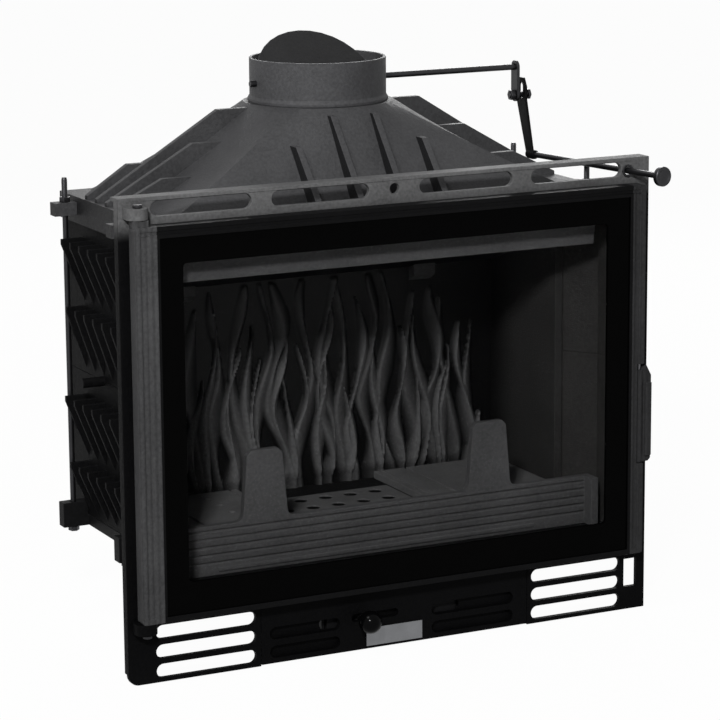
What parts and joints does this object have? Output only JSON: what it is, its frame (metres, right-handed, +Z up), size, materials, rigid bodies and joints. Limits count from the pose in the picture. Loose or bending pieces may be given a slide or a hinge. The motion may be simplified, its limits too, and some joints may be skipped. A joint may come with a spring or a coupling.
{
  "type": "fireplace insert",
  "caption": "Cast-iron fireplace insert with a hinged glass door, finned walls, ribbed hood, flue damper on a pull rod and an ash drawer with an air shutter.",
  "frame": {"origin": "middle of the ash box's underside, on the floor", "axes": "+X to the right seen from the front, +Y back towards the chimney, +Z up"},
  "size_m": [0.75, 0.4124, 0.7741],
  "materials": {
    "cast_iron_black": "heat-proof black paint on a fine cast grain",
    "door_black": "smooth satin black paint",
    "sheet_black": "black heat-proof paint on sheet steel",
    "bright_steel": "plain turned steel",
    "fire_glass": "ceramic fire glass with a printed black border",
    "seal_rope": "braided glass rope",
    "knob_black": "gloss black heat-proof moulding",
    "plain_plate": "satin, bare"
  },
  "bodies": {
    "insert_body": {"front_plate": "cast_iron_black", "hinge_bracket_upper": "cast_iron_black", "hinge_bracket_lower": "cast_iron_black", "hinge_pin_upper": "bright_steel", "hinge_pin_lower": "bright_steel", "latch_keeper": "cast_iron_black", "pull_rod_bush": "bright_steel", "base_casting": "cast_iron_black", "wall_right_upper": "cast_iron_black", "wall_right_lower": "cast_iron_black", "wall_left_upper": "cast_iron_black", "wall_left_lower": "cast_iron_black", "back_wall": "cast_iron_black", "hood": "cast_iron_black", "flue_collar": "cast_iron_black", "tie_rod_front_left": "bright_steel", "tie_rod_front_right": "bright_steel", "tie_rod_rear_left": "bright_steel", "tie_rod_rear_right": "bright_steel", "tie_nut_front_left": "bright_steel", "tie_nut_front_right": "bright_steel", "tie_nut_rear_left": "bright_steel", "tie_nut_rear_right": "bright_steel", "liner_right": "cast_iron_black", "liner_left": "cast_iron_black", "back_liner": "cast_iron_black", "floor_plate_right": "cast_iron_black", "floor_plate_left": "cast_iron_black", "front_baffle": "cast_iron_black", "deflector": "cast_iron_black", "deflector_peg_right": "cast_iron_black", "deflector_peg_left": "cast_iron_black", "ash_box": "sheet_black"},
    "grate": {"grate": "cast_iron_black"},
    "log_guard": {"log_guard": "cast_iron_black"},
    "door": {"door_frame": "door_black", "door_glass": "fire_glass", "glass_seal": "seal_rope", "inner_door_frame": "cast_iron_black", "door_seal": "seal_rope", "latch_pin": "bright_steel"},
    "latch": {"latch_lever": "door_black"},
    "damper": {"damper_disc": "cast_iron_black", "damper_shaft": "bright_steel", "crank_arm": "bright_steel", "crank_bolt": "bright_steel", "crank_nut": "bright_steel"},
    "damper_pull": {"link_bar": "door_black", "pull_rod": "bright_steel", "pull_knob": "knob_black"},
    "ash_drawer": {"drawer_front": "cast_iron_black", "ash_pan": "sheet_black", "blank_plate": "plain_plate"},
    "air_shutter": {"air_shutter": "sheet_black", "shutter_stem": "bright_steel", "shutter_knob": "knob_black"}
  },
  "joints": [
    {"name": "door_swing", "type": "hinge", "parent": "insert_body", "child": "door", "pos_m": [-0.355, -0.1455, 0.084], "axis": [0, 0, -1], "range_deg": [0, 110]},
    {"name": "latch_turn", "type": "hinge", "parent": "door", "child": "latch", "pos_m": [0.353, -0.1475, 0.208], "axis": [0, 0, -1], "range_deg": [0, 50]},
    {"name": "damper_turn", "type": "hinge", "parent": "insert_body", "child": "damper", "pos_m": [0, 0.0895, 0.714], "axis": [1, 0, 0], "range_deg": [-45, 45]},
    {"name": "damper_pull_slide", "type": "slide", "parent": "insert_body", "child": "damper_pull", "axis": [0.1668, -0.986, 0], "range_m": [-0.0275, 0.0275]},
    {"name": "drawer_slide", "type": "slide", "parent": "insert_body", "child": "ash_drawer", "axis": [0, -1, 0], "range_m": [0, 0.2]},
    {"name": "shutter_slide", "type": "slide", "parent": "ash_drawer", "child": "air_shutter", "axis": [1, 0, 0], "range_m": [0, 0.045]},
    {"name": "grate_lift", "type": "slide", "parent": "insert_body", "child": "grate", "axis": [0, 0, 1], "range_m": [0, 0.03]},
    {"name": "guard_lift", "type": "slide", "parent": "insert_body", "child": "log_guard", "axis": [0, 0, 1], "range_m": [0, 0.03]}
  ],
  "couplings": [
    {"joint": "damper_pull_slide", "follows": "damper_turn", "m_per_rad": -0.0347}
  ]
}
